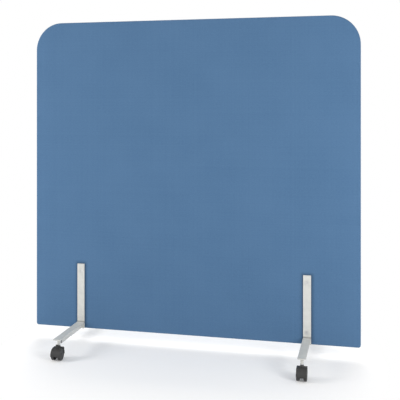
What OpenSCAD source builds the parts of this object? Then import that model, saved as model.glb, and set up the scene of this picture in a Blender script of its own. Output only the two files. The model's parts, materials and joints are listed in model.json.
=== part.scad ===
// Rolling partition: an upholstered acoustic panel on four welded T-bar brackets,
// each carried by a swivelling twin-wheel caster. Two of the casters have a brake.
// The origin is on the floor, midway between the casters. The front faces -Y.

/* [Panel] */
// Width of the upholstered panel
panel_w = 1400; // [1000:10:1800]
// Height of the upholstered panel, without the casters
panel_h = 1330; // [900:10:1600]
// Thickness of the panel over both fabric faces
panel_t = 40; // [36:1:60]
// Radius of the two upper corners
top_corner_r = 118; // [60:1:200]
// Radius of the two lower corners
bottom_corner_r = 10; // [9:1:80]
// Rounding of the panel's front and rear edges
edge_r = 6; // [3:0.5:8]
// Thickness of the fabric
cover_t = 1.2; // [0.8:0.1:2]

/* [Panel core] */
// Thickness of the timber core between the two foam sheets
core_t = 22; // [16:1:26]
// Width of the two side stiles
stile_w = 70; // [50:1:110]
// Straight edge that the head and foot boards keep beyond their rounded corners
corner_land = 60; // [15:1:90]
// Width of the two posts that the brackets are bolted through
post_w = 90; // [50:1:140]
// Gap round each acoustic infill pad
infill_gap = 1; // [0.5:0.5:4]

/* [Brackets] */
// Distance from the panel's side edge to the middle of a bracket
bracket_inset = 212; // [180:1:300]
// Width of the upright bar and of the foot's flange
bar_w = 32; // [26:1:50]
// Thickness of the upright bar
upright_t = 5; // [4:0.5:8]
// Height of the upright bar, from the panel's lower edge
upright_h = 280; // [262:1:400]
// Chamfer round the upright's front face
upright_chamfer = 0.8; // [0.4:0.1:1.5]
// Length of the foot in front of the upright
foot_reach = 250; // [180:5:350]
// Height of the T section
foot_h = 28; // [24:1:32]
// Thickness of the foot's flange
flange_t = 4; // [3:0.5:6]
// Thickness of the foot's web
web_t = 4; // [3:0.5:6]
// Root fillet between flange and web
root_r = 4; // [2:0.5:6]
// Distance by which the web stops short of the flange's end
web_setback = 43; // [36:1:60]
// Corner radius at the flange's end
flange_end_r = 3; // [1:0.5:8]
// Height of the foot's top face above the panel's lower edge
foot_lift = 28; // [20:1:40]
// Leg of the weld that joins the foot to the upright
weld_leg = 2.5; // [1.5:0.5:4]

/* [Bolts] */
// Height of the lower bolt above the panel's lower edge
lower_bolt_h = 50; // [44:1:70]
// Distance between the two bolts of a bracket
bolt_pitch = 200; // [120:5:205]
// Thread diameter of the bolts
bolt_d = 6; // [5:1:8]
// Diameter of the flat bolt head
bolt_head_d = 18; // [14:1:22]
// Height of the flat bolt head
bolt_head_h = 1.6; // [1.2:0.1:2.5]
// Hexagon socket across its flats
bolt_socket_af = 4; // [3:0.5:4.5]
// Length of bolt that is screwed into the sleeve nut
bolt_grip = 14; // [10:1:16]
// Outer diameter of the sleeve nut
sleeve_d = 10; // [9:0.5:12]
// Distance from the fabric's face to the sleeve nut's end
sleeve_inset = 1; // [0.5:0.5:3]
// Radial clearance of the bolt in the upright's hole
bolt_play = 0.3; // [0.2:0.1:0.6]

/* [Casters] */
// Wheel diameter
wheel_d = 46; // [40:1:60]
// Width of one wheel
wheel_w = 11.5; // [11:0.5:16]
// Thickness of the hood's web between the two wheels
hood_web_t = 15; // [15:0.5:20]
// Distance from the swivel axis to the wheel axis
trail = 12; // [12:0.5:20]
// Distance from the flange's end to the swivel axis
stem_setback = 20; // [16:1:30]
// Diameter of the swivel stem
stem_d = 8; // [7:0.5:9]
// Diameter of the wheel axle
axle_d = 6; // [5:0.5:7]
// Width by which each wheel stands out beside the hood
wheel_show = 0; // [0:0.5:6]
// Wall of the hood over the wheels
hood_wall = 2.2; // [1.8:0.1:3]
// Radial gap between tread and hood
tread_gap = 1.3; // [1:0.1:2]
// Side gap between a wheel and the hood's web
side_gap = 0.5; // [0.4:0.1:1]
// Height of the hood's neck round the stem
neck_h = 7.5; // [5:0.5:12]
// Height of the stem's hexagon collar
collar_h = 2.7; // [2:0.1:5]
// Stem collar across its flats
collar_af = 12; // [12:0.5:16]
// Diameter of the socket welded under the foot
socket_d = 12; // [11.5:0.5:16]
// Length of the socket welded under the foot
socket_h = 20; // [18:0.5:35]
// Radial running clearance of axle and stem
running_gap = 0.05; // [0.02:0.01:0.1]
// Gap between hood neck and stem collar
swivel_gap = 0.3; // [0.2:0.05:0.5]

/* [Brake] */
// Width of the brake lever's blade
lever_w = 9; // [6:0.5:10]
// Thickness of the brake lever's blade
lever_t = 3.2; // [2.5:0.1:4]
// Height of the lever's tip above the hood
lever_rise = 14; // [8:0.5:16]
// Diameter of the lever's pin
lever_pin_d = 3; // [2:0.5:4]
// Length of the bar that the lever presses onto both treads
brake_bar_w = 34; // [26:1:36]
// Gap between the lever and the hood's opening
lever_gap = 0.4; // [0.3:0.05:0.8]

/* [Hidden] */

$fn = 64;
eps = 0.01;

fabric_blue = [0.36, 0.50, 0.66];
foam_white = [0.90, 0.89, 0.85];
timber = [0.78, 0.66, 0.48];
felt_grey = [0.55, 0.56, 0.58];
steel_grey = [0.78, 0.79, 0.78];
zinc = [0.70, 0.71, 0.72];
nylon_black = [0.17, 0.17, 0.17];

// Caster heights, from the floor up
axle_z = wheel_d / 2;
hood_r = wheel_d / 2 + tread_gap + hood_wall;
hood_top = axle_z + hood_r;
neck_top = hood_top + neck_h;
collar_z = neck_top + swivel_gap;
socket_z = collar_z + collar_h;
flange_z = socket_z + socket_h;
foot_top = flange_z + flange_t;
panel_z = foot_top - foot_lift;
web_z = foot_top - foot_h;

// Caster details
neck_wall = 1.5;
neck_base_r = 9.5;
neck_r = stem_d / 2 + neck_wall;
column_r = hood_web_t / 2;
hood_corner_r = 6;
wheel_out = hood_web_t / 2 + side_gap + wheel_w;
hood_half_w = wheel_out - wheel_show;
back_wall = 3;
hood_back = column_r + back_wall;
skirt_drop = 3;
hood_skirt_z = axle_z - skirt_drop;
web_disc_r = 14;
column_drop = 14;
column_z = axle_z - column_drop;
column_foot_r = 3;
column_top = hood_top - hood_corner_r;
pocket_play = 1;
clip_t = 1;
clip_wall = 1.6;
clip_play = 0.1;
groove_depth = 0.8;
clip_ring = 2.4;
clip_room = 0.4;
pocket_depth = 5;
shelf_z = column_z + pocket_depth;
clip_z = shelf_z - swivel_gap - clip_t;
stem_tail = 2;
stem_foot_z = clip_z - stem_tail;
stem_tip_chamfer = 0.8;
clip_r = stem_d / 2 - groove_depth + clip_ring;
pocket_r = clip_r + clip_room;
thread_gap = 1;
socket_floor = 3;
bore_h = socket_h - socket_floor;
stem_thread_h = bore_h - thread_gap;

// Wheel details
tread_r = 2;
rim_t = 3.5;
disc_t = 2.4;
dish_depth = 1.2;
cap_t = 1.6;
hub_wall = 3.2;
hub_r = axle_d / 2 + hub_wall;
cap_rim = 1.5;
cap_r = hub_r + cap_rim;
rib_overlap = 1;
cap_gap = 0.4;
axle_chamfer = 0.5;
rib_t = 1.4;
rib_count = 6;

// Brake details, seen from the side: offsets from the wheel axis, angles above level
lever_out = 5;
lever_drop = 5;
lever_up = wheel_d / 2 - lever_drop;
lever_hub_r = 3.6;
lever_room = 1;
bar_room = 2;
bar_sink = 2.5;
plate_low = 49;
plate_high = 78;
bar_high = 61;
lever_y = -trail - lever_out;
lever_z = axle_z + lever_up;
tip_z = hood_top + lever_rise;

// Panel layers, measured from the middle plane
core_half = core_t / 2;
face_half = panel_t / 2;
foam_half = face_half - cover_t;
inner_w = panel_w - 2 * cover_t;
inner_h = panel_h - 2 * cover_t;
inner_z = panel_z + cover_t;
inner_top_r = top_corner_r - cover_t;
inner_bottom_r = bottom_corner_r - cover_t;
inner_edge_r = edge_r - cover_t;
head_h = inner_top_r + corner_land;
sill_h = inner_bottom_r + corner_land;
stile_h = inner_h - head_h - sill_h;
stile_z = inner_z + sill_h;

// Bracket places
bracket_x = panel_w / 2 - bracket_inset;
foot_end = face_half + upright_t + foot_reach;
stem_y = foot_end - stem_setback;
bolt_z = [panel_z + lower_bolt_h, panel_z + lower_bolt_h + bolt_pitch];
socket_sink = 1.4;
sleeve_half = face_half - sleeve_inset;

// Panel

// Section of a flat rim: r wide from the axis, t thick, its outer edges rounded by e
module rim_section(r, t, e) {
    translate([0, -t / 2]) square([r - e, t]);
    translate([0, -t / 2 + e]) square([r, t - 2 * e]);
    for (side = [-1, 1]) translate([r - e, side * (t / 2 - e)]) half_disc(e);
}

// Right half of a disc
module half_disc(r) {
    intersection() {
        circle(r);
        translate([0, -r]) square([r, 2 * r]);
    }
}

// Section of a flat slab: w wide, t thick, all four edges rounded by e
module slab_section(w, t, e) {
    translate([-w / 2 + e, -t / 2]) square([w - 2 * e, t]);
    translate([-w / 2, -t / 2 + e]) square([w, t - 2 * e]);
    for (sx = [-1, 1]) for (sy = [-1, 1])
        translate([sx * (w / 2 - e), sy * (t / 2 - e)]) circle(e);
}

// Upright slab standing on z = 0, with round corners and edges rounded all the way round
module cushion_slab(w, h, t, rt, rb, e) {
    translate([0, 0, rb]) linear_extrude(h - rt - rb) slab_section(w, t, e);
    translate([0, 0, h / 2]) rotate([0, 90, 0])
        linear_extrude(w - 2 * rt, center = true) rotate(180) rim_section(h / 2, t, e);
    translate([0, 0, h / 2]) rotate([0, 90, 0])
        linear_extrude(w - 2 * rb, center = true) rim_section(h / 2, t, e);
    for (side = [-1, 1]) {
        translate([side * (w / 2 - rt), 0, h - rt]) rotate([90, 0, 0])
            rotate_extrude() rim_section(rt, t, e);
        translate([side * (w / 2 - rb), 0, rb]) rotate([90, 0, 0])
            rotate_extrude() rim_section(rb, t, e);
    }
}

module inner_slab() {
    translate([0, 0, inner_z])
        cushion_slab(inner_w, inner_h, 2 * foam_half, inner_top_r, inner_bottom_r, inner_edge_r);
}

// Box over the whole panel between two depths
module depth_band(y0, y1) {
    translate([-panel_w, y0, 0]) cube([2 * panel_w, y1 - y0, 2 * panel_h]);
}

// Bores for the four sleeve nuts, along Y
module sleeve_bores() {
    for (side = [-1, 1]) for (z = bolt_z)
        translate([side * bracket_x, 0, z]) rotate([90, 0, 0])
            cylinder(d = sleeve_d, h = 2 * panel_t, center = true);
}

// Section of a cover's rim: x outward from the flat of the face, y forward from the seam
module rim_lip() {
    bend_z = face_half - edge_r;
    translate([edge_r - cover_t, 0]) square([cover_t, bend_z]);
    translate([0, bend_z]) intersection() {
        difference() {
            circle(edge_r);
            circle(edge_r - cover_t);
        }
        square(edge_r);
    }
}

// Quarter of the rim round a corner of radius r, turned by angle a
module corner_lip(r, a) {
    rotate(a) rotate_extrude(angle = 90) translate([r - edge_r, 0]) rim_lip();
}

// Straight length of rim, from the origin along +Y
module straight_lip(len) {
    rotate([90, 0, 0]) translate([0, 0, -len]) linear_extrude(len) rim_lip();
}

// Outline of the flat face, lying in XY, its lower edge at y = edge_r
module face_outline() {
    rt = top_corner_r - edge_r;
    rb = bottom_corner_r - edge_r;
    half_w = panel_w / 2 - edge_r;
    translate([-half_w, bottom_corner_r])
        square([2 * half_w, panel_h - top_corner_r - bottom_corner_r]);
    translate([rb - half_w, edge_r]) square([2 * (half_w - rb), panel_h / 2]);
    translate([rt - half_w, panel_h / 2]) square([2 * (half_w - rt), panel_h / 2 - edge_r]);
    for (side = [-1, 1]) {
        translate([side * (half_w - rb), bottom_corner_r]) circle(rb);
        translate([side * (half_w - rt), panel_h - top_corner_r]) circle(rt);
    }
}

// Fabric tray over one face: it wraps round the edges and ends at the seam, y = 0
module cover() {
    half_w = panel_w / 2;
    side_h = panel_h - top_corner_r - bottom_corner_r;
    color(fabric_blue) difference() {
        translate([0, 0, panel_z]) rotate([90, 0, 0]) {
            translate([0, 0, face_half - cover_t]) linear_extrude(cover_t) face_outline();
            translate([half_w - edge_r, bottom_corner_r, 0]) straight_lip(side_h);
            translate([edge_r - half_w, bottom_corner_r + side_h, 0]) rotate(180)
                straight_lip(side_h);
            translate([half_w - top_corner_r, panel_h - edge_r, 0]) rotate(90)
                straight_lip(panel_w - 2 * top_corner_r);
            translate([bottom_corner_r - half_w, edge_r, 0]) rotate(-90)
                straight_lip(panel_w - 2 * bottom_corner_r);
            translate([half_w - top_corner_r, panel_h - top_corner_r, 0])
                corner_lip(top_corner_r, 0);
            translate([top_corner_r - half_w, panel_h - top_corner_r, 0])
                corner_lip(top_corner_r, 90);
            translate([bottom_corner_r - half_w, bottom_corner_r, 0])
                corner_lip(bottom_corner_r, 180);
            translate([half_w - bottom_corner_r, bottom_corner_r, 0])
                corner_lip(bottom_corner_r, 270);
        }
        sleeve_bores();
    }
}

module front_foam() {
    color(foam_white) difference() {
        inner_slab();
        depth_band(-core_half, panel_t);
        sleeve_bores();
    }
}

module rear_foam() {
    color(foam_white) difference() {
        inner_slab();
        depth_band(-panel_t, core_half);
        sleeve_bores();
    }
}

// Core board between two heights of the inner outline
module core_band(z0, z1) {
    intersection() {
        translate([0, 0, inner_z]) core_outline();
        translate([-panel_w, -core_half, z0]) cube([2 * panel_w, core_t, z1 - z0]);
    }
}

module core_outline() {
    rotate([90, 0, 0]) linear_extrude(core_t, center = true) {
        translate([-inner_w / 2, inner_bottom_r])
            square([inner_w, inner_h - inner_top_r - inner_bottom_r]);
        translate([-inner_w / 2 + inner_bottom_r, 0])
            square([inner_w - 2 * inner_bottom_r, inner_h / 2]);
        translate([-inner_w / 2 + inner_top_r, inner_h / 2])
            square([inner_w - 2 * inner_top_r, inner_h / 2]);
        for (side = [-1, 1]) {
            translate([side * (inner_w / 2 - inner_bottom_r), inner_bottom_r])
                circle(inner_bottom_r);
            translate([side * (inner_w / 2 - inner_top_r), inner_h - inner_top_r])
                circle(inner_top_r);
        }
    }
}

module head_board() {
    color(timber) core_band(stile_z + stile_h, inner_z + inner_h);
}

module foot_board() {
    color(timber) difference() {
        core_band(inner_z, stile_z);
        sleeve_bores();
    }
}

// One upright member of the core, w wide, centred on x
module core_upright(x, w) {
    color(timber) difference() {
        translate([x - w / 2, -core_half, stile_z]) cube([w, core_t, stile_h]);
        sleeve_bores();
    }
}

// Acoustic felt in the three windows of the core
module infill_pads() {
    stile_in = inner_w / 2 - stile_w;
    post_out = bracket_x + post_w / 2;
    post_in = bracket_x - post_w / 2;
    color(felt_grey) {
        for (side = [-1, 1]) mirror([side < 0 ? 1 : 0, 0, 0]) infill_pad(post_out, stile_in);
        infill_pad(-post_in, post_in);
    }
}

module infill_pad(x0, x1) {
    translate([x0 + infill_gap, -core_half, stile_z + infill_gap])
        cube([x1 - x0 - 2 * infill_gap, core_t, stile_h - 2 * infill_gap]);
}

// Fasteners

module sleeve_nuts() {
    color(zinc) for (side = [-1, 1]) for (z = bolt_z)
        translate([side * bracket_x, 0, z]) rotate([90, 0, 0]) difference() {
            cylinder(d = sleeve_d, h = 2 * sleeve_half, center = true);
            cylinder(d = bolt_d, h = 2 * panel_t, center = true);
        }
}

// Flat-headed bolt: its head rests on z = 0, its shank runs down
module connector_bolt() {
    shank = upright_t + sleeve_inset + bolt_grip;
    socket_depth = bolt_head_h + socket_sink;
    head_chamfer = 0.5;
    difference() {
        union() {
            translate([0, 0, -shank]) cylinder(d = bolt_d, h = shank);
            cylinder(d = bolt_head_d, h = bolt_head_h - head_chamfer);
            translate([0, 0, bolt_head_h - head_chamfer])
                cylinder(d1 = bolt_head_d, d2 = bolt_head_d - 2 * head_chamfer, h = head_chamfer);
        }
        translate([0, 0, bolt_head_h - socket_depth])
            cylinder(d = bolt_socket_af / cos(30), h = socket_depth + eps, $fn = 6);
    }
}

module bracket_bolts() {
    color(steel_grey) for (turn = [0, 180]) rotate([0, 0, turn])
        for (side = [-1, 1]) for (z = bolt_z)
            translate([side * bracket_x, -face_half - upright_t, z]) rotate([90, 0, 0])
                connector_bolt();
}

// Bracket

// Places a piece made for the front left corner at another corner: side -1 left, 1 right
module at_corner(side, front) {
    rotate([0, 0, front ? 0 : 180]) translate([(front ? side : -side) * bracket_x, 0, 0])
        children();
}

// Flat bar with its outward face chamfered, standing on the panel's face
module upright_bar() {
    c = upright_chamfer;
    y = -face_half - upright_t;
    difference() {
        translate([-bar_w / 2, y, panel_z]) cube([bar_w, upright_t, upright_h]);
        for (side = [-1, 1]) {
            translate([side * bar_w / 2, y, panel_z - eps]) rotate([0, 0, 45])
                translate([-c / sqrt(2), -c / sqrt(2), 0])
                    cube([c * sqrt(2), c * sqrt(2), upright_h + 2 * eps]);
        }
        translate([0, y, panel_z + upright_h]) rotate([45, 0, 0])
            cube([2 * bar_w, c * sqrt(2), c * sqrt(2)], center = true);
        for (z = bolt_z)
            translate([0, y, z]) rotate([90, 0, 0])
                cylinder(r = bolt_d / 2 + bolt_play, h = 4 * upright_t, center = true);
    }
}

// Flange of the foot, with its end corners rounded
module foot_flange() {
    r = flange_end_r;
    translate([0, 0, flange_z]) linear_extrude(flange_t) {
        translate([-bar_w / 2, -foot_end + r]) square([bar_w, foot_reach - r]);
        translate([-bar_w / 2 + r, -foot_end]) square([bar_w - 2 * r, 2 * r]);
        for (side = [-1, 1]) translate([side * (bar_w / 2 - r), -foot_end + r]) circle(r);
    }
}

// Web of the foot and its two root fillets
module foot_web() {
    web_len = foot_reach - web_setback;
    depth = foot_h - flange_t;
    translate([0, -face_half - upright_t, flange_z]) rotate([90, 0, 0])
        linear_extrude(web_len) difference() {
            union() {
                translate([-web_t / 2, -depth]) square([web_t, depth]);
                translate([-web_t / 2 - root_r, -root_r]) square([web_t + 2 * root_r, root_r]);
            }
            for (side = [-1, 1])
                translate([side * (web_t / 2 + root_r), -root_r]) circle(root_r);
        }
}

// Fillet weld across the flange, where it meets the upright
module foot_weld() {
    y = -face_half - upright_t;
    weld_len = bar_w - 2 * flange_end_r;
    translate([weld_len / 2, y, foot_top]) rotate([0, -90, 0]) linear_extrude(weld_len)
        difference() {
            translate([0, -weld_leg]) square([weld_leg, weld_leg]);
            translate([weld_leg, -weld_leg]) circle(weld_leg);
        }
}

module bracket() {
    color(steel_grey) {
        upright_bar();
        foot_weld();
        foot_web();
        difference() {
            union() {
                foot_flange();
                translate([0, -stem_y, socket_z]) cylinder(d = socket_d, h = socket_h);
            }
            translate([0, -stem_y, socket_z - eps])
                cylinder(d = stem_d, h = bore_h + eps);
        }
    }
}

// Caster: its swivel axis is on Z and its wheels are towards -Y

module at_stem() {
    translate([0, -stem_y, 0]) children();
}

// Threaded stem with a hexagon collar and a groove for its clip
module stem() {
    r = stem_d / 2;
    c = stem_tip_chamfer;
    color(zinc) at_stem() {
        translate([0, 0, socket_z]) cylinder(r = r, h = stem_thread_h);
        translate([0, 0, collar_z]) cylinder(d = collar_af / cos(30), h = collar_h, $fn = 6);
        rotate_extrude() polygon([[0, stem_foot_z], [r - c, stem_foot_z],
            [r, stem_foot_z + c], [r, clip_z - clip_play],
            [r - groove_depth, clip_z - clip_play],
            [r - groove_depth, clip_z + clip_t + clip_play],
            [r, clip_z + clip_t + clip_play], [r, collar_z], [0, collar_z]]);
    }
}

// Open retaining ring in the stem's groove
module clip() {
    slot = stem_d / 2;
    color(zinc) at_stem() translate([0, 0, clip_z]) difference() {
        cylinder(r = clip_r, h = clip_t);
        translate([0, 0, -eps]) cylinder(r = stem_d / 2 - groove_depth, h = clip_t + 2 * eps);
        translate([-slot / 2, 0, -eps]) cube([slot, 2 * clip_r, clip_t + 2 * eps]);
    }
}

// Side view of the hood's shell: y to the right, z up, its walls drawn in by inset
module shell_side(inset) {
    r = hood_r - inset;
    back = hood_back - inset;
    corner = hood_corner_r - inset;
    top = hood_top - inset;
    translate([-trail, axle_z]) circle(r);
    translate([-trail, axle_z]) square([trail + back - corner, top - axle_z]);
    translate([-trail, axle_z]) square([trail + back, top - axle_z - corner]);
    translate([back - corner, top - corner]) circle(corner);
    translate([-trail, hood_skirt_z - 2 * inset]) square([trail + back, axle_z]);
}

// Extrudes a side view along X, centred
module across(w) {
    rotate([90, 0, 90]) linear_extrude(w, center = true) children();
}

// Web between the wheels, with the column round the stem
module hood_web() {
    r = column_foot_r;
    across(hood_web_t) {
        translate([-trail, axle_z]) circle(web_disc_r);
        translate([-trail, column_z + r])
            square([trail + column_r, column_top - column_z - r]);
        translate([-trail, column_z]) square([trail + column_r - r, 2 * r]);
        translate([column_r - r, column_z + r]) circle(r);
    }
}

// Piece of the hood's wall between two angles above level, seen from the side
module wall_arc(low, high) {
    r = 2 * hood_r;
    translate([-trail, axle_z]) difference() {
        intersection() {
            circle(hood_r);
            polygon([[0, 0], [-r * cos(low), r * sin(low)], [-r * cos(high), r * sin(high)]]);
        }
        circle(hood_r - hood_wall);
    }
}

// Opening in the hood for the lever and its bar
module lever_opening() {
    low = lever_z - lever_hub_r - lever_room;
    back = lever_y + lever_hub_r + lever_room;
    front = -trail - hood_r * cos(plate_low) - lever_room;
    bar_back = -trail - hood_r * cos(bar_high) + bar_room;
    bar_floor = lever_z - bar_sink;
    slot_w = lever_w + 2 * lever_gap;
    gap_w = brake_bar_w + 2 * lever_gap;
    translate([-slot_w / 2, front, low]) cube([slot_w, back - front, hood_r]);
    translate([-gap_w / 2, front, bar_floor]) cube([gap_w, bar_back - front, hood_r]);
}

module brake_lever() {
    tip_r = lever_t / 2;
    color(nylon_black) at_stem() difference() {
        union() {
            across(lever_w) {
                wall_arc(plate_low, plate_high);
                translate([lever_y, lever_z]) circle(lever_hub_r);
                translate([lever_y - tip_r, lever_z]) square([lever_t, tip_z - tip_r - lever_z]);
                translate([lever_y, tip_z - tip_r]) circle(tip_r);
            }
            across(brake_bar_w) wall_arc(plate_low, bar_high);
        }
        translate([0, lever_y, lever_z]) rotate([0, 90, 0])
            cylinder(r = lever_pin_d / 2 + running_gap, h = 2 * lever_w, center = true);
    }
}

// Pin of the brake lever, a press fit in the hood's web
module lever_pin() {
    color(zinc) at_stem() translate([0, lever_y, lever_z]) rotate([0, 90, 0])
        cylinder(d = lever_pin_d, h = hood_web_t, center = true);
}

module hood(braked = false) {
    pocket_w = wheel_w + side_gap + pocket_play;
    color(nylon_black) at_stem() difference() {
        union() {
            difference() {
                intersection() {
                    across(2 * hood_half_w) shell_side(0);
                    translate([-panel_t, -wheel_d * 2, hood_skirt_z])
                        cube([2 * panel_t, wheel_d * 4, wheel_d * 2]);
                }
                for (side = [-1, 1])
                    translate([side * (hood_web_t / 2 + pocket_w / 2), 0, 0])
                        across(pocket_w) shell_side(hood_wall);
            }
            hood_web();
            translate([0, 0, hood_top - hood_wall])
                cylinder(r1 = neck_base_r, r2 = neck_r, h = neck_h + hood_wall);
        }
        translate([0, 0, column_z - eps])
            cylinder(r = stem_d / 2 + running_gap, h = neck_top - column_z + 2 * eps);
        translate([0, 0, column_z - eps]) cylinder(r = pocket_r, h = shelf_z - column_z + eps);
        translate([0, -trail, axle_z]) rotate([0, 90, 0])
            cylinder(d = axle_d, h = 4 * hood_half_w, center = true);
        if (braked) {
            lever_opening();
            translate([0, lever_y, lever_z]) rotate([0, 90, 0])
                cylinder(d = lever_pin_d, h = hood_web_t, center = true);
        }
    }
}

// Steel axle, a press fit in the hood's web
module axle() {
    c = axle_chamfer;
    end_x = wheel_out - cap_t - cap_gap;
    color(zinc) at_stem() translate([0, -trail, axle_z]) rotate([0, 90, 0]) {
        cylinder(d = axle_d, h = 2 * (end_x - c), center = true);
        for (turn = [0, 180]) rotate([turn, 0, 0]) translate([0, 0, end_x - c])
            cylinder(d1 = axle_d, d2 = axle_d - 2 * c, h = c);
    }
}

// Half section of a wheel: radius along x, width along y, the outer face at y = wheel_w
module wheel_section() {
    r = wheel_d / 2;
    bore_r = axle_d / 2 + running_gap;
    disc_y = wheel_w - dish_depth - disc_t;
    // Tread with two rounded shoulders
    translate([r - rim_t, 0]) square([rim_t - tread_r, wheel_w]);
    translate([r - tread_r - eps, tread_r]) square([tread_r + eps, wheel_w - 2 * tread_r]);
    for (y = [tread_r, wheel_w - tread_r]) translate([r - tread_r, y]) circle(tread_r);
    // Dished disc
    translate([hub_r - eps, disc_y]) square([r - rim_t - hub_r + 2 * eps, disc_t]);
    // Hub, its bore closed by the cap
    translate([bore_r, 0]) square([hub_r - bore_r, wheel_w - cap_t]);
    translate([0, wheel_w - cap_t]) square([cap_r, cap_t]);
}

// One wheel: side -1 has its outer face towards -X
module wheel(side) {
    inner_x = hood_web_t / 2 + side_gap;
    rib_len = wheel_d / 2 - rim_t - hub_r + 2 * rib_overlap;
    color(nylon_black) at_stem() translate([side * inner_x, -trail, axle_z])
        rotate([0, side * 90, 0]) {
            rotate_extrude() wheel_section();
            for (i = [0 : rib_count - 1]) rotate([0, 0, i * 360 / rib_count])
                translate([hub_r - rib_overlap, -rib_t / 2, rib_overlap])
                    cube([rib_len, rib_t, wheel_w - dish_depth - disc_t]);
        }
}

cover();  // front_cover
rotate([0, 0, 180]) cover();  // rear_cover
front_foam();
rear_foam();
head_board();
foot_board();
core_upright((stile_w - inner_w) / 2, stile_w);  // left_stile
core_upright((inner_w - stile_w) / 2, stile_w);  // right_stile
core_upright(-bracket_x, post_w);  // left_post
core_upright(bracket_x, post_w);  // right_post
infill_pads();
sleeve_nuts();
bracket_bolts();
at_corner(-1, true) bracket();  // front_left_bracket
at_corner(1, true) bracket();  // front_right_bracket
at_corner(-1, false) bracket();  // rear_left_bracket
at_corner(1, false) bracket();  // rear_right_bracket
at_corner(-1, true) stem();  // front_left_stem
at_corner(1, true) stem();  // front_right_stem
at_corner(-1, false) stem();  // rear_left_stem
at_corner(1, false) stem();  // rear_right_stem
at_corner(-1, true) clip();  // front_left_clip
at_corner(1, true) clip();  // front_right_clip
at_corner(-1, false) clip();  // rear_left_clip
at_corner(1, false) clip();  // rear_right_clip
at_corner(-1, true) hood(true);  // front_left_hood
at_corner(1, true) hood();  // front_right_hood
at_corner(-1, false) hood();  // rear_left_hood
at_corner(1, false) hood(true);  // rear_right_hood
at_corner(-1, true) axle();  // front_left_axle
at_corner(1, true) axle();  // front_right_axle
at_corner(-1, false) axle();  // rear_left_axle
at_corner(1, false) axle();  // rear_right_axle
at_corner(-1, true) brake_lever();  // front_left_lever
at_corner(1, false) brake_lever();  // rear_right_lever
at_corner(-1, true) lever_pin();  // front_left_lever_pin
at_corner(1, false) lever_pin();  // rear_right_lever_pin
at_corner(-1, true) wheel(-1);  // front_left_outer_wheel
at_corner(-1, true) wheel(1);  // front_left_inner_wheel
at_corner(1, true) wheel(1);  // front_right_outer_wheel
at_corner(1, true) wheel(-1);  // front_right_inner_wheel
at_corner(-1, false) wheel(1);  // rear_left_outer_wheel
at_corner(-1, false) wheel(-1);  // rear_left_inner_wheel
at_corner(1, false) wheel(-1);  // rear_right_outer_wheel
at_corner(1, false) wheel(1);  // rear_right_inner_wheel
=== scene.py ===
import bpy
import bmesh
import json
import math
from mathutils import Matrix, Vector, noise
from mathutils.geometry import delaunay_2d_cdt


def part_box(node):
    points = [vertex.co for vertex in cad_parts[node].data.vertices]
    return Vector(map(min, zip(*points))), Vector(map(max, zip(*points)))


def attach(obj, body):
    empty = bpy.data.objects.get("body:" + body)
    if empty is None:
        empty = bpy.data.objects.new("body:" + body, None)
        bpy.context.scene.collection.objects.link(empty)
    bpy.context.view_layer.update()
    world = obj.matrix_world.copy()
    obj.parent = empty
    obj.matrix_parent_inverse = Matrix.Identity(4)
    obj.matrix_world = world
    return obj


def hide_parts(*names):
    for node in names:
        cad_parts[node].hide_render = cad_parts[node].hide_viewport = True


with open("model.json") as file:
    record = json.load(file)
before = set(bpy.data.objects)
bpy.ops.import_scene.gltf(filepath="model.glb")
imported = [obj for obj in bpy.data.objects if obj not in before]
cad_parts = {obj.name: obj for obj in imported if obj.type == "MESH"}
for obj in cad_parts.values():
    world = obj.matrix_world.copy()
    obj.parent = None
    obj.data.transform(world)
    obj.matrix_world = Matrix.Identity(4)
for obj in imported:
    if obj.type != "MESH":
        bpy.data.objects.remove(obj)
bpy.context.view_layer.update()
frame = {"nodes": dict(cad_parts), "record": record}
scene = bpy.context.scene
print("frame loaded")

panelLow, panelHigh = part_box("front_cover")
panelHalf = (panelHigh.x - panelLow.x) / 2
panelDepth = panelHigh.y - panelLow.y
uprightBoxes = [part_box(corner + "_bracket") for corner in ("front_left", "front_right")]


def wire(tree, source, target):
    tree.links.new(source, target)


def setSocket(tree, socket, value):
    if isinstance(value, bpy.types.NodeSocket):
        wire(tree, value, socket)
    elif socket.type == "RGBA":
        socket.default_value = (*value, 1.0)
    else:
        socket.default_value = value


# each input is named by its label or number, and gets a value or another node's output
def addNode(tree, kind, inputs=None, **settings):
    node = tree.nodes.new(kind)
    for key, value in settings.items():
        setattr(node, key, value)
    for label, value in (inputs or {}).items():
        setSocket(tree, node.inputs[label], value)
    return node


def mathNode(tree, operation, *values, clamp=False):
    inputs = dict(enumerate(values))
    return addNode(tree, "ShaderNodeMath", inputs, operation=operation, use_clamp=clamp).outputs[0]


def mixColor(tree, factor, first, second, blend="MIX"):
    inputs = {0: factor, 6: first, 7: second}
    return addNode(tree, "ShaderNodeMix", inputs, data_type="RGBA", blend_type=blend).outputs[2]


def remap(tree, value, span, low=0.0, high=1.0):
    inputs = dict(enumerate((value, *span, low, high)))
    return addNode(tree, "ShaderNodeMapRange", inputs).outputs[0]


def splitVector(tree, vector):
    return addNode(tree, "ShaderNodeSeparateXYZ", {0: vector}).outputs


# the root of a value's square and a further addend
def rootOfSquare(tree, value, more):
    return mathNode(tree, "SQRT", mathNode(tree, "MULTIPLY_ADD", value, value, more))


def fadeOut(tree, distance, reach):
    share = mathNode(tree, "DIVIDE", distance, reach)
    return mathNode(tree, "SUBTRACT", 1.0, share, clamp=True)


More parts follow.
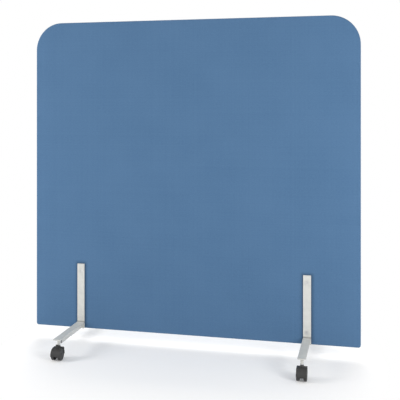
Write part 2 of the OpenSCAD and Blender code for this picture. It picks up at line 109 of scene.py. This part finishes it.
# each socket is given by its kind, or by its default number where it is a float
def newGroup(name, inputs, outputs, treeKind="ShaderNodeTree"):
    group = bpy.data.node_groups.new(name, treeKind)
    for side, sockets in (("INPUT", inputs), ("OUTPUT", outputs)):
        for label, value in sockets.items():
            kind = value if isinstance(value, str) else "NodeSocketFloat"
            socket = group.interface.new_socket(label, in_out=side, socket_type=kind)
            if kind != value:
                socket.default_value = value
    given = addNode(group, "NodeGroupInput").outputs
    return group, given, addNode(group, "NodeGroupOutput").inputs


def placeGroup(tree, group, **values):
    return addNode(tree, "ShaderNodeGroup", values, node_tree=group).outputs


def newMaterial(name):
    material = bpy.data.materials.new(name)
    material.use_nodes = True
    tree = material.node_tree
    tree.nodes.clear()
    return material, tree, addNode(tree, "ShaderNodeOutputMaterial").inputs[0]


def addSurface(tree, target, height, depth, strength, inputs):
    bump = addNode(tree, "ShaderNodeBump",
                   {"Distance": depth, "Strength": strength, "Height": height})
    shader = addNode(tree, "ShaderNodeBsdfPrincipled", {**inputs, "Normal": bump.outputs[0]})
    wire(tree, shader.outputs[0], target)


grainSizes = dict(scale=900.0, detail=3.0, cloudDetail=2.0, cloudShare=0.03)


def grainGroup(sizes):
    group, given, result = newGroup(
        "fineGrain", {"Vector": "NodeSocketVector", "Scale": sizes["scale"]},
        {"Height": "NodeSocketFloat", "Cloud": "NodeSocketFloat"})
    cloudScale = mathNode(group, "MULTIPLY", given["Scale"], sizes["cloudShare"])
    for label, scale, detail in (("Height", given["Scale"], sizes["detail"]),
                                 ("Cloud", cloudScale, sizes["cloudDetail"])):
        cells = addNode(group, "ShaderNodeTexNoise",
                        {"Vector": given["Vector"], "Scale": scale, "Detail": detail})
        wire(group, cells.outputs[0], result[label])
    return group


weaveSizes = dict(pitch=0.0022, roundness=3.2, underShare=0.5)


def weaveGroup(sizes):
    group, given, result = newGroup(
        "plainWeave", {"Vector": "NodeSocketVector", "Pitch": sizes["pitch"]},
        {"Height": "NodeSocketFloat", "Shade": "NodeSocketFloat"})
    cut = splitVector(group, given["Vector"])
    across = mathNode(group, "DIVIDE", cut[0], given["Pitch"])
    along = mathNode(group, "DIVIDE", cut[1], given["Pitch"])

    def threadRound(value):
        folded = mathNode(group, "SUBTRACT", mathNode(group, "FRACT", value), 0.5)
        square = mathNode(group, "MULTIPLY", folded, folded)
        fall = mathNode(group, "MULTIPLY", square, sizes["roundness"])
        return mathNode(group, "SUBTRACT", 1.0, fall)

    column = mathNode(group, "FLOOR", across)
    row = mathNode(group, "FLOOR", along)
    crossing = mathNode(group, "ABSOLUTE", mathNode(group, "ADD", column, row))
    parity = mathNode(group, "MODULO", crossing, 2.0)
    under = sizes["underShare"]
    warpShare = mathNode(group, "MULTIPLY_ADD", parity, 1.0 - under, under)
    weftShare = mathNode(group, "MULTIPLY_ADD", parity, under - 1.0, 1.0)
    warpOver = mathNode(group, "MULTIPLY", threadRound(across), warpShare)
    weftOver = mathNode(group, "MULTIPLY", threadRound(along), weftShare)
    warpShows = mathNode(group, "GREATER_THAN", warpOver, weftOver)
    weftShows = mathNode(group, "SUBTRACT", 1.0, warpShows)
    # every thread has its own tone
    pair = addNode(group, "ShaderNodeCombineXYZ", {
        0: mathNode(group, "MULTIPLY", column, warpShows),
        1: mathNode(group, "MULTIPLY", row, weftShows)})
    tone = addNode(group, "ShaderNodeTexWhiteNoise", {"Vector": pair.outputs[0]},
                   noise_dimensions="2D")
    wire(group, mathNode(group, "MAXIMUM", warpOver, weftOver), result["Height"])
    wire(group, tone.outputs["Value"], result["Shade"])
    return group


# painted shadow mask: 1 on an upright's outline, falling to 0 at the reach
def barPaintedShadowGroup():
    group, given, result = newGroup(
        "barPaintedShadow",
        {"Vector": "NodeSocketVector", "Middle": 0.48, "Half": 0.016, "Top": 0.3, "Reach": 0.02},
        {"Mask": "NodeSocketFloat"})
    cut = splitVector(group, given["Vector"])
    across = mathNode(group, "ABSOLUTE", cut[0])
    offset = mathNode(group, "ABSOLUTE", mathNode(group, "SUBTRACT", across, given["Middle"]))
    beside = mathNode(group, "MAXIMUM", mathNode(group, "SUBTRACT", offset, given["Half"]), 0.0)
    above = mathNode(group, "MAXIMUM", mathNode(group, "SUBTRACT", cut[1], given["Top"]), 0.0)
    gap = rootOfSquare(group, beside, mathNode(group, "MULTIPLY", above, above))
    near = fadeOut(group, gap, given["Reach"])
    wire(group, mathNode(group, "MULTIPLY", near, near), result["Mask"])
    return group


# painted shade mask: 1 in the crease where a foot joins its upright
def paintedWeldShadeGroup():
    group, given, result = newGroup(
        "paintedWeldShade",
        {"Vector": "NodeSocketVector", "Depth": 0.025, "Height": 0.088, "Reach": 0.005},
        {"Mask": "NodeSocketFloat"})
    place = splitVector(group, given["Vector"])
    depth = mathNode(group, "ABSOLUTE", place[1])
    outward = mathNode(group, "SUBTRACT", depth, given["Depth"])
    up = mathNode(group, "SUBTRACT", place[2], given["Height"])
    gap = rootOfSquare(group, outward, mathNode(group, "MULTIPLY", up, up))
    wire(group, fadeOut(group, gap, given["Reach"]), result["Mask"])
    return group


# painted shadow mask: 1 on the cut end of a foot's web
def cutEndShadowGroup():
    group, given, result = newGroup(
        "paintedCutEndShadow",
        {"Vector": "NodeSocketVector", "Depth": 0.232, "Height": 0.084, "Reach": 0.001},
        {"Mask": "NodeSocketFloat"})
    place = splitVector(group, given["Vector"])
    depth = mathNode(group, "ABSOLUTE", place[1])
    offset = mathNode(group, "ABSOLUTE", mathNode(group, "SUBTRACT", depth, given["Depth"]))
    near = mathNode(group, "LESS_THAN", offset, given["Reach"])
    below = mathNode(group, "LESS_THAN", place[2], given["Height"])
    wire(group, mathNode(group, "MULTIPLY", near, below), result["Mask"])
    return group


fineGrain = grainGroup(grainSizes)
plainWeave = weaveGroup(weaveSizes)
barPaintedShadow = barPaintedShadowGroup()
paintedWeldShade = paintedWeldShadeGroup()
paintedCutEndShadow = cutEndShadowGroup()
print("effects built")


# the bar numbers size the painted shadow on the fabric beside the uprights
fabricLook = dict(
    light=(0.098, 0.193, 0.336), mid=(0.078, 0.164, 0.295), dark=(0.061, 0.136, 0.253),
    pitch=0.0018, threadShare=0.22, calmShare=0.50, toneSpan=(0.25, 0.75),
    cloudScale=5.0, cloudSpan=(0.35, 0.65), cloudShare=0.25, slubScale=(110.0, 300.0, 1.0),
    gapSpan=(0.3, 0.7), gapTone=0.80, barShadowShare=0.42, barShadowReach=0.020,
    weaveDepth=0.0003, weaveStrength=0.6,
    roughness=0.88, sheen=0.08, sheenRoughness=0.5, specular=0.12)


def upholsteryFabric(name, uvName, look):
    material, tree, target = newMaterial(name)
    uv = addNode(tree, "ShaderNodeUVMap", uv_map=uvName).outputs[0]
    weave = placeGroup(tree, plainWeave, Vector=uv, Pitch=look["pitch"])
    cloud = addNode(tree, "ShaderNodeTexNoise", {"Vector": uv, "Scale": look["cloudScale"]})
    drawn = addNode(tree, "ShaderNodeMapping", {"Vector": uv, "Scale": look["slubScale"]})
    slub = addNode(tree, "ShaderNodeTexNoise", {"Vector": drawn.outputs[0], "Scale": 1.0})
    thick = mathNode(tree, "MULTIPLY", slub.outputs[0], 1.0 - look["threadShare"])
    tone = mathNode(tree, "MULTIPLY_ADD", weave["Shade"], look["threadShare"], thick)
    base = mixColor(tree, remap(tree, tone, look["toneSpan"]), look["dark"], look["light"])
    calm = mixColor(tree, look["calmShare"], base, look["mid"])
    faded = remap(tree, cloud.outputs[0], look["cloudSpan"], 0.0, look["cloudShare"])
    cloudy = mixColor(tree, faded, calm, look["light"])
    gaps = remap(tree, weave["Height"], look["gapSpan"], look["gapTone"], 1.0)
    # painted shadow: the fabric is darker beside the uprights, as if in their shade
    low, high = uprightBoxes[1]
    byUpright = placeGroup(tree, barPaintedShadow, Vector=uv, Middle=(low.x + high.x) / 2,
                         Half=(high.x - low.x) / 2, Top=high.z, Reach=look["barShadowReach"])
    # painted shadow darkens the fabric towards the uprights' edges
    dim = mathNode(tree, "MULTIPLY_ADD", byUpright["Mask"], -look["barShadowShare"], 1.0)
    shade = mathNode(tree, "MULTIPLY", gaps, dim)
    addSurface(tree, target, weave["Height"], look["weaveDepth"], look["weaveStrength"], {
        "Base Color": mixColor(tree, 1.0, cloudy, shade, blend="MULTIPLY"),
        "Roughness": look["roughness"], "Sheen Weight": look["sheen"],
        "Sheen Roughness": look["sheenRoughness"], "Specular IOR Level": look["specular"]})
    return material


# painted shade: the paint is darkened in the crease where foot meets upright, and the web's cut
# end is painted near black as shadow
paintedShadeMarks = dict(
    creaseShadeColor=(0.10, 0.10, 0.10), creaseShadeShare=0.75, creaseShadeReach=0.0065, uprightFace=0.025,
    footLift=0.028, endShadowColor=(0.02, 0.02, 0.02), endFace=0.232, endReach=0.0008, flange=0.0042)


def addPaintedShade(tree, spot, tone, marks):
    footTop = panelLow.z + marks["footLift"]
    seam = placeGroup(tree, paintedWeldShade, Vector=spot, Depth=marks["uprightFace"],
                      Height=footTop, Reach=marks["creaseShadeReach"])
    # painted shade along the crease between foot and upright
    share = mathNode(tree, "MULTIPLY", seam["Mask"], marks["creaseShadeShare"])
    creaseShaded = mixColor(tree, share, tone, marks["creaseShadeColor"])
    # painted shadow: the web's cut end turns near black
    cut = placeGroup(tree, paintedCutEndShadow, Vector=spot, Depth=marks["endFace"],
                     Height=footTop - marks["flange"], Reach=marks["endReach"])
    return mixColor(tree, cut["Mask"], creaseShaded, marks["endShadowColor"])


grainLook = dict(cloudSpan=(0.3, 0.7), speckSpan=(0.42, 0.62), speckShare=0.35, strength=0.5)
finishLooks = {
    "silver_paint": dict(
        name="silverPaint", color=(0.645, 0.645, 0.612), dark=(0.575, 0.579, 0.552),
        scale=1400.0, roughness=0.42, spread=0.05, depth=0.00008, marks=paintedShadeMarks),
    "bolt_steel": dict(
        name="boltSteel", color=(0.69, 0.69, 0.675), dark=(0.57, 0.57, 0.56),
        scale=1800.0, roughness=0.42, spread=0.06, depth=0.00004, metallic=0.7),
    "zinc": dict(
        name="zincPlate", color=(0.58, 0.59, 0.60), dark=(0.46, 0.47, 0.49),
        scale=1600.0, roughness=0.32, spread=0.08, depth=0.00004, metallic=0.9),
    "hood_nylon": dict(
        name="hoodNylon", color=(0.040, 0.040, 0.040), dark=(0.032, 0.032, 0.032),
        scale=1500.0, roughness=0.55, spread=0.06, depth=0.00006, specular=0.35),
    "wheel_nylon": dict(
        name="wheelNylon", color=(0.034, 0.034, 0.035), dark=(0.025, 0.025, 0.026),
        scale=1300.0, roughness=0.46, spread=0.08, depth=0.00005, specular=0.4),
    "foam": dict(
        name="foamSheet", color=(0.78, 0.77, 0.70), dark=(0.62, 0.60, 0.53),
        scale=700.0, roughness=0.95, spread=0.02, depth=0.0006),
    "felt": dict(
        name="feltPad", color=(0.30, 0.31, 0.33), dark=(0.20, 0.21, 0.22),
        scale=500.0, roughness=0.97, spread=0.02, depth=0.0006)}


def grainedFinish(name, color, dark, scale, roughness, spread, depth, metallic=0.0, specular=0.5,
                  marks=None):
    material, tree, target = newMaterial(name)
    spot = addNode(tree, "ShaderNodeTexCoord").outputs["Object"]
    grain = placeGroup(tree, fineGrain, Vector=spot, Scale=scale)
    cloudy = mixColor(tree, remap(tree, grain["Cloud"], grainLook["cloudSpan"]), color, dark)
    speck = remap(tree, grain["Height"], grainLook["speckSpan"], 0.0, grainLook["speckShare"])
    tone = mixColor(tree, speck, cloudy, dark)
    # the paint gets painted shade in its weld crease and on the web's cut end
    if marks:
        tone = addPaintedShade(tree, spot, tone, marks)
    rough = remap(tree, grain["Cloud"], grainLook["cloudSpan"], roughness - spread,
                  roughness + spread)
    addSurface(tree, target, grain["Height"], depth, grainLook["strength"], {
        "Base Color": tone, "Roughness": rough, "Metallic": metallic,
        "Specular IOR Level": specular})
    return material


woodLook = dict(
    light=(0.66, 0.48, 0.29), dark=(0.48, 0.31, 0.16), stretch=(60.0, 60.0, 2.5),
    detail=4.0, distortion=0.6, span=(0.35, 0.65), roughness=0.6, depth=0.0003, strength=0.4)


def softwood(name, look):
    material, tree, target = newMaterial(name)
    spot = addNode(tree, "ShaderNodeTexCoord").outputs["Object"]
    drawn = addNode(tree, "ShaderNodeMapping", {"Vector": spot, "Scale": look["stretch"]})
    rings = addNode(tree, "ShaderNodeTexNoise", {
        "Vector": drawn.outputs[0], "Scale": 1.0, "Detail": look["detail"],
        "Distortion": look["distortion"]}).outputs[0]
    color = mixColor(tree, remap(tree, rings, look["span"]), look["light"], look["dark"])
    addSurface(tree, target, rings, look["depth"], look["strength"],
               {"Base Color": color, "Roughness": look["roughness"]})
    return material


panelFabric = upholsteryFabric("panelFabric", "cut", fabricLook)
slotFinish = {slot: grainedFinish(**look) for slot, look in finishLooks.items()}
slotFinish["timber"] = softwood("coreTimber", woodLook)
print("finishes built")

slotOf = {part["node"]: part["material_slot"] for part in frame["record"]["subparts"]}
for nodeName, nodeObject in frame["nodes"].items():
    finish = slotFinish.get(slotOf[nodeName])
    if finish:
        nodeObject.data.materials.clear()
        nodeObject.data.materials.append(finish)


# ripples are (share of the height, waves along x, waves along z, level in the noise)
coverSizes = dict(
    topRadius=0.118, bottomRadius=0.010, edgeRadius=0.006, thickness=0.0010,
    seamGroove=0.0009, seamRoll=0.0016, edgeSteps=3, foldSteps=6,
    outlineStep=0.008, arcShare=0.7, arcLeast=5,
    crown=0.0009, crownReach=0.045, ringReach=0.008,
    crownRings=(0.006, 0.013, 0.021, 0.030), ringCorner=0.0005,
    gridStep=0.014, gridShift=0.25, gridClear=0.6, fineStep=0.004, fineReach=0.034,
    rippleHeight=0.00022, ripples=((1.0, 5.0, 4.0, 3.7), (0.4, 14.0, 11.0, 9.1)),
    barSwell=0.0006, barSwellReach=0.018, barSwellFall=3, pressDepth=0.0001,
    boltHead=0.009, boltHole=0.0052, holeSides=16, strayRoom=0.002, mergeReach=1e-6)

boltLow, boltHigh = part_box("bracket_bolts")
boltX = (uprightBoxes[1][0].x + uprightBoxes[1][1].x) / 2
boltHeights = (boltLow.z + coverSizes["boltHead"], boltHigh.z - coverSizes["boltHead"])
boltHoles = [(side * boltX, z) for side in (-1, 1) for z in boltHeights]


def placePiece(name, data):
    piece = bpy.data.objects.new(name, data)
    scene.collection.objects.link(piece)
    return piece


def bakeModifiers(piece):
    graph = bpy.context.evaluated_depsgraph_get()
    finished = bpy.data.meshes.new_from_object(piece.evaluated_get(graph))
    piece.modifiers.clear()
    piece.data = finished


# the panel's outline moved inwards by a level, as pairs of a point and its outward normal
def outlinePoints(sizes, level, bottomR):
    step = sizes["outlineStep"]
    halfW = panelHalf - level
    low = panelLow.z + level
    high = panelHigh.z - level
    topR = sizes["topRadius"] - level
    points = []

    def side(start, end, normal):
        start, end = Vector(start), Vector(end)
        count = max(1, round((end - start).length / step))
        for i in range(count):
            points.append((start.lerp(end, i / count), Vector(normal)))

    def turn(centre, radius, first):
        arc = radius * math.pi / 2
        count = max(sizes["arcLeast"], round(arc / (step * sizes["arcShare"])))
        for i in range(count):
            angle = math.radians(first + 90 * i / count)
            normal = Vector((math.cos(angle), math.sin(angle)))
            points.append((Vector(centre) + normal * radius, normal))

    side((halfW, low + bottomR), (halfW, high - topR), (1, 0))
    turn((halfW - topR, high - topR), topR, 0)
    side((halfW - topR, high), (topR - halfW, high), (0, 1))
    turn((topR - halfW, high - topR), topR, 90)
    side((-halfW, high - topR), (-halfW, low + bottomR), (-1, 0))
    turn((bottomR - halfW, low + bottomR), bottomR, 180)
    side((bottomR - halfW, low), (halfW - bottomR, low), (0, -1))
    turn((halfW - bottomR, low + bottomR), bottomR, 270)
    return points


# the cover's section from the seam to the face, as pairs of an inset and a distance from the seam
def edgeProfile(sizes):
    radius, roll = sizes["edgeRadius"], sizes["seamRoll"]
    flat = panelDepth - radius
    rows = [(sizes["seamGroove"], 0.0), (0.0, roll)]
    for i in range(1, sizes["edgeSteps"] + 1):
        rows.append((0.0, roll + (flat - roll) * i / sizes["edgeSteps"]))
    for i in range(1, sizes["foldSteps"] + 1):
        angle = math.pi / 2 * i / sizes["foldSteps"]
        rows.append((radius - radius * math.cos(angle), flat + radius * math.sin(angle)))
    rows.append((sizes["ringReach"], panelDepth))
    return rows


def smooth(value):
    t = max(0.0, min(1.0, value))
    return t * t * (3 - 2 * t)


# the face crowns away from its edge, ripples a little, and swells round the uprights that press it
def faceDepth(x, z, inset, sizes):
    drop = sizes["crown"] * (1 - smooth((inset - sizes["edgeRadius"]) / sizes["crownReach"]))
    ripple = sum(share * sizes["rippleHeight"] * noise.noise(Vector((x * wide, z * tall, level)))
                 for share, wide, tall, level in sizes["ripples"])
    reach = sizes["barSwellReach"]
    fall = sizes["barSwellFall"] * reach
    swell = 0.0
    byUpright = False
    for low, high in uprightBoxes:
        gap = math.hypot(max(low.x - x, 0.0, x - high.x), max(panelLow.z - z, 0.0, z - high.z))
        byUpright = byUpright or gap <= 0.0
        swell = max(swell, sizes["barSwell"] * smooth(gap / reach)
                    * (1 - smooth((gap - reach) / fall)))
    loose = panelDepth - drop + ripple + swell
    return min(loose, panelDepth - sizes["pressDepth"]) if byUpright else loose


# how far a place on the face is inside the last ring of the edge
def roomAt(x, z, sizes):
    inset = sizes["ringReach"]
    side = panelHalf - inset - abs(x)
    room = min(side, panelHigh.z - inset - z, z - panelLow.z - inset)
    top, bottom = sizes["topRadius"], sizes["bottomRadius"]
    for radius, level, sign in ((top, panelHigh.z - top, 1), (bottom, panelLow.z + bottom, -1)):
        middle = panelHalf - radius
        if abs(x) > middle and (z - level) * sign > 0:
            room = min(room, radius - inset - math.hypot(abs(x) - middle, z - level))
    return room


def nearBar(x, z, margin):
    return any(a.x - margin < x < b.x + margin and z < b.z + margin for a, b in uprightBoxes)


def offHoles(x, z, reach):
    return all(math.hypot(x - holeX, z - holeZ) > reach for holeX, holeZ in boltHoles)


# the points inside the face: rings that give the crown its shape, a grid, and a finer grid
# round the uprights
def facePoints(sizes):
    points = []
    fine, reach = sizes["fineStep"], sizes["fineReach"]
    for extra in sizes["crownRings"]:
        ring = outlinePoints(sizes, sizes["ringReach"] + extra, sizes["ringCorner"])
        points += [point for point, normal in ring if not nearBar(point.x, point.y, reach)]
    step = sizes["gridStep"]
    shift = sizes["gridShift"] * step
    clear = sizes["crownRings"][-1] + sizes["gridClear"] * step
    for i in range(int(2 * panelHalf / step) + 1):
        for j in range(int((panelHigh.z - panelLow.z) / step) + 1):
            x = -panelHalf + (i + 0.5) * step + (shift if j % 2 else -shift)
            z = panelLow.z + (j + 0.5) * step
            if roomAt(x, z, sizes) > clear and not nearBar(x, z, reach):
                points.append(Vector((x, z)))
    for a, b in uprightBoxes:
        columns = range(math.floor((a.x - reach) / fine), math.ceil((b.x + reach) / fine))
        rows = range(math.floor(panelLow.z / fine), math.ceil((b.z + reach) / fine))
        for i in columns:
            for j in rows:
                x, z = (i + 0.5) * fine, (j + 0.5) * fine
                free = offHoles(x, z, sizes["boltHole"] + sizes["gridClear"] * fine)
                if free and roomAt(x, z, sizes) > fine and nearBar(x, z, reach - fine / 2):
                    points.append(Vector((x, z)))
    return points


# adds the face, which is filled from the edge's last ring inwards and open at the bolts
def fillFace(sizes, vertices, cuts, faces, first):
    count = len(vertices) - first
    points = [Vector((v.x, v.z)) for v in vertices[first:]]
    edges = [(i, (i + 1) % count) for i in range(count)]
    around = sizes["holeSides"]
    for hole in boltHoles:
        start = len(points)
        for i in range(around):
            angle = 2 * math.pi * i / around
            spoke = Vector((math.cos(angle), math.sin(angle))) * sizes["boltHole"]
            points.append(Vector(hole) + spoke)
        edges += [(start + i, start + (i + 1) % around) for i in range(around)]
    points += facePoints(sizes)
    filled = delaunay_2d_cdt(points, edges, [], 0, sizes["mergeReach"])
    placed, triangles, origin = filled[0], filled[2], filled[3]
    index = []
    for point, sources in zip(placed, origin):
        if sources and sources[0] < count:
            index.append(first + sources[0])
            continue
        index.append(len(vertices))
        inset = sizes["ringReach"] + max(0.0, roomAt(point.x, point.y, sizes))
        vertices.append(Vector((point.x, faceDepth(point.x, point.y, inset, sizes), point.y)))
        cuts.append(Vector((point.x, point.y)))
    for tri in triangles:
        x = sum(placed[k].x for k in tri) / 3
        z = sum(placed[k].y for k in tri) / 3
        room = roomAt(x, z, sizes)
        onRing = all(origin[k] and origin[k][0] < count for k in tri)
        outside = room < -sizes["strayRoom"] or (onRing and room <= 0)
        if not outside and offHoles(x, z, sizes["boltHole"]):
            faces.append(tuple(index[k] for k in tri))


def orientOutwards(mesh, facing):
    tool = bmesh.new()
    tool.from_mesh(mesh)
    bmesh.ops.recalc_face_normals(tool, faces=tool.faces)
    tool.faces.ensure_lookup_table()
    total = sum(f.normal.y * f.calc_area() for f in tool.faces)
    if total * -facing < 0:
        bmesh.ops.reverse_faces(tool, faces=tool.faces)
    tool.to_mesh(mesh)
    tool.free()


def buildCover(name, node, sizes, facing):
    outline = outlinePoints(sizes, 0.0, sizes["bottomRadius"])
    profile = edgeProfile(sizes)
    travel = [0.0]
    for before, after in zip(profile, profile[1:]):
        travel.append(travel[-1] + math.hypot(after[0] - before[0], after[1] - before[1]))
    whole, lastInset = travel[-1], profile[-1][0]
    vertices, cuts, faces = [], [], []
    for (inset, out), along in zip(profile, travel):
        rise = max(0.0, (out - panelDepth + sizes["edgeRadius"]) / sizes["edgeRadius"])
        for point, normal in outline:
            spot = point - normal * inset
            sunk = (panelDepth - faceDepth(spot.x, spot.y, inset, sizes)) * rise
            vertices.append(Vector((spot.x, out - sunk, spot.y)))
            cuts.append(point - normal * (lastInset - (whole - along)))
    count = len(outline)
    for ring in range(len(profile) - 1):
        a = ring * count
        for i in range(count):
            j = (i + 1) % count
            faces.append((a + i, a + j, a + count + j, a + count + i))
    fillFace(sizes, vertices, cuts, faces, (len(profile) - 1) * count)

    mesh = bpy.data.meshes.new(name)
    mesh.from_pydata([(v.x * facing, -v.y * facing, v.z) for v in vertices], [], faces)
    layer = mesh.uv_layers.new(name="cut")
    for loop in mesh.loops:
        layer.data[loop.index].uv = cuts[loop.vertex_index]
    mesh.polygons.foreach_set("use_smooth", [True] * len(mesh.polygons))
    orientOutwards(mesh, facing)
    piece = placePiece(name, mesh)
    wall = piece.modifiers.new("wall", "SOLIDIFY")
    wall.thickness = sizes["thickness"]
    wall.offset = -1
    wall.use_rim = True
    bakeModifiers(piece)
    piece.data.materials.clear()
    piece.data.materials.append(panelFabric)

    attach(piece, "screen")
    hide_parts(node)


buildCover("frontCover", "front_cover", coverSizes, 1)
buildCover("rearCover", "rear_cover", coverSizes, -1)
print("covers built")


stitchSizes = dict(
    spacing=0.0055, length=0.0030, radius=0.00022, sides=6, segments=3, slant=0.35, sunkShare=0.4)


def seamCurve(name, sizes):
    sunk = sizes["sunkShare"] * coverSizes["seamGroove"]
    outline = outlinePoints(coverSizes, 0.0, coverSizes["bottomRadius"])
    path = [(p.x - n.x * sunk, 0.0, p.y - n.y * sunk) for p, n in outline]
    mesh = bpy.data.meshes.new(name)
    mesh.from_pydata(path, [(i, (i + 1) % len(path)) for i in range(len(path))], [])
    return placePiece(name, mesh)


# a stitch is a short rod laid across the seam
def stitchTree(sizes, material):
    tree, given, result = newGroup(
        "seamStitching",
        {"Geometry": "NodeSocketGeometry", "Spacing": sizes["spacing"],
         "Stitch length": sizes["length"], "Thread radius": sizes["radius"],
         "Slant": sizes["slant"]},
        {"Geometry": "NodeSocketGeometry"}, "GeometryNodeTree")
    curve = addNode(tree, "GeometryNodeMeshToCurve", {0: given["Geometry"]})
    spots = addNode(tree, "GeometryNodeCurveToPoints",
                    {0: curve.outputs[0], "Length": given["Spacing"]}, mode="LENGTH").outputs
    stitch = addNode(tree, "GeometryNodeMeshCylinder", {
        "Vertices": sizes["sides"], "Side Segments": sizes["segments"],
        "Radius": given["Thread radius"], "Depth": given["Stitch length"]},
        fill_type="TRIANGLE_FAN")
    tilt = addNode(tree, "FunctionNodeAxisAngleToRotation", {
        "Axis": (1.0, 0.0, 0.0), "Angle": mathNode(tree, "ADD", math.pi / 2, given["Slant"])})
    spin = addNode(tree, "FunctionNodeRotateRotation",
                   {0: spots["Rotation"], 1: tilt.outputs[0]}, rotation_space="LOCAL")
    copies = addNode(tree, "GeometryNodeInstanceOnPoints", {
        "Points": spots["Points"], "Instance": stitch.outputs["Mesh"],
        "Rotation": spin.outputs[0]})
    real = addNode(tree, "GeometryNodeRealizeInstances", {0: copies.outputs[0]})
    finished = addNode(tree, "GeometryNodeSetMaterial",
                       {"Geometry": real.outputs[0], "Material": material})
    wire(tree, finished.outputs[0], result["Geometry"])
    return tree


seamStitches = seamCurve("seamStitches", stitchSizes)
seamStitches.modifiers.new("grow", "NODES").node_group = stitchTree(stitchSizes, panelFabric)
bakeModifiers(seamStitches)
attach(seamStitches, "screen")
print("seam stitched:", len(seamStitches.data.polygons), "faces")


floorSizes = dict(
    half=30.0, color=(0.95, 0.943, 0.935), gain=1.08, lift=0.16, reachX=0.74, reachY=0.52,
    middle=-0.10, squareness=6.0, fade=(0.55, 1.25))


def studioFloor(sizes):
    half = sizes["half"]
    mesh = bpy.data.meshes.new("studioFloor")
    square = [(-half, -half, 0), (half, -half, 0), (half, half, 0), (-half, half, 0)]
    mesh.from_pydata(square, [], [(0, 1, 2, 3)])
    material, tree, target = newMaterial("paperSweep")
    rays = addNode(tree, "ShaderNodeLightPath").outputs
    seen = mathNode(tree, "MAXIMUM", rays["Is Camera Ray"], rays["Is Glossy Ray"])
    bright = tuple(sizes["gain"] * part for part in sizes["color"])
    paper = addNode(tree, "ShaderNodeBsdfDiffuse",
                    {"Color": mixColor(tree, seen, sizes["color"], bright)})
    # the paper turns white away from the screen's feet
    place = splitVector(tree, addNode(tree, "ShaderNodeTexCoord").outputs["Object"])
    across = mathNode(tree, "DIVIDE", place[0], sizes["reachX"])
    outward = mathNode(tree, "SUBTRACT", place[1], sizes["middle"])
    forward = mathNode(tree, "DIVIDE", outward, sizes["reachY"])
    steep = mathNode(tree, "POWER", mathNode(tree, "ABSOLUTE", across), sizes["squareness"])
    away = rootOfSquare(tree, forward, steep)
    far = remap(tree, away, sizes["fade"], sizes["lift"], 1.0)
    white = addNode(tree, "ShaderNodeEmission", {"Strength": 1.0})
    blend = addNode(tree, "ShaderNodeMixShader", {
        0: mathNode(tree, "MULTIPLY", far, seen), 1: paper.outputs[0], 2: white.outputs[0]})
    wire(tree, blend.outputs[0], target)
    mesh.materials.append(material)
    placePiece("studioFloor", mesh)


worldStrength = 0.67


# the camera and reflections see white where the rest of the scene gets softer light
def studioWorld(strength):
    world = bpy.data.worlds.new("studioWorld")
    world.use_nodes = True
    scene.world = world
    tree = world.node_tree
    tree.nodes.clear()
    soft, white = (addNode(tree, "ShaderNodeBackground",
                           {"Color": (1.0, 1.0, 1.0), "Strength": share})
                   for share in (strength, 1.0))
    rays = addNode(tree, "ShaderNodeLightPath").outputs
    shiny = mathNode(tree, "MAXIMUM", rays["Is Camera Ray"], rays["Is Glossy Ray"])
    seen = mathNode(tree, "MAXIMUM", shiny, rays["Is Transmission Ray"])
    blend = addNode(tree, "ShaderNodeMixShader",
                    {0: seen, 1: soft.outputs[0], 2: white.outputs[0]})
    addNode(tree, "ShaderNodeOutputWorld", {0: blend.outputs[0]})


lampSizes = {
    "leftLamp": dict(place=(-2.528, -1.208, 1.087), target=(0.0, 0.0, 0.6), power=23.0, size=0.8),
    "highLeftLamp": dict(
        place=(-3.816, -1.808, 2.611), target=(0.0, 0.0, 0.6), power=24.0, size=0.8),
    "rightLamp": dict(place=(2.211, -1.706, 1.087), target=(0.0, 0.0, 0.6), power=28.5, size=0.8),
    "backLamp": dict(place=(-0.6, 2.4, 3.8), target=(0.0, 0.0, 0.7), power=112.0, size=3.0)}


def softLamp(name, sizes):
    lamp = bpy.data.lights.new(name, "AREA")
    lamp.energy = sizes["power"]
    lamp.size = sizes["size"]
    piece = placePiece(name, lamp)
    piece.location = sizes["place"]
    aim = Vector(sizes["target"]) - Vector(sizes["place"])
    piece.rotation_euler = aim.to_track_quat("-Z", "Y").to_euler()


studioFloor(floorSizes)
studioWorld(worldStrength)
for lampName, lampSize in lampSizes.items():
    softLamp(lampName, lampSize)
scene.view_settings.view_transform = "Standard"
print("studio lit")


cameraSizes = dict(
    place=(0.7235, -2.9505, 1.0096), turn=13.075, sensor=36.0, lens=64.66, shiftY=-0.2279)

camera = placePiece("camera", bpy.data.cameras.new("camera"))
camera.location = cameraSizes["place"]
camera.rotation_euler = (math.radians(90), 0.0, math.radians(cameraSizes["turn"]))
camera.data.sensor_width = cameraSizes["sensor"]
camera.data.lens = cameraSizes["lens"]
camera.data.shift_y = cameraSizes["shiftY"]
scene.camera = camera
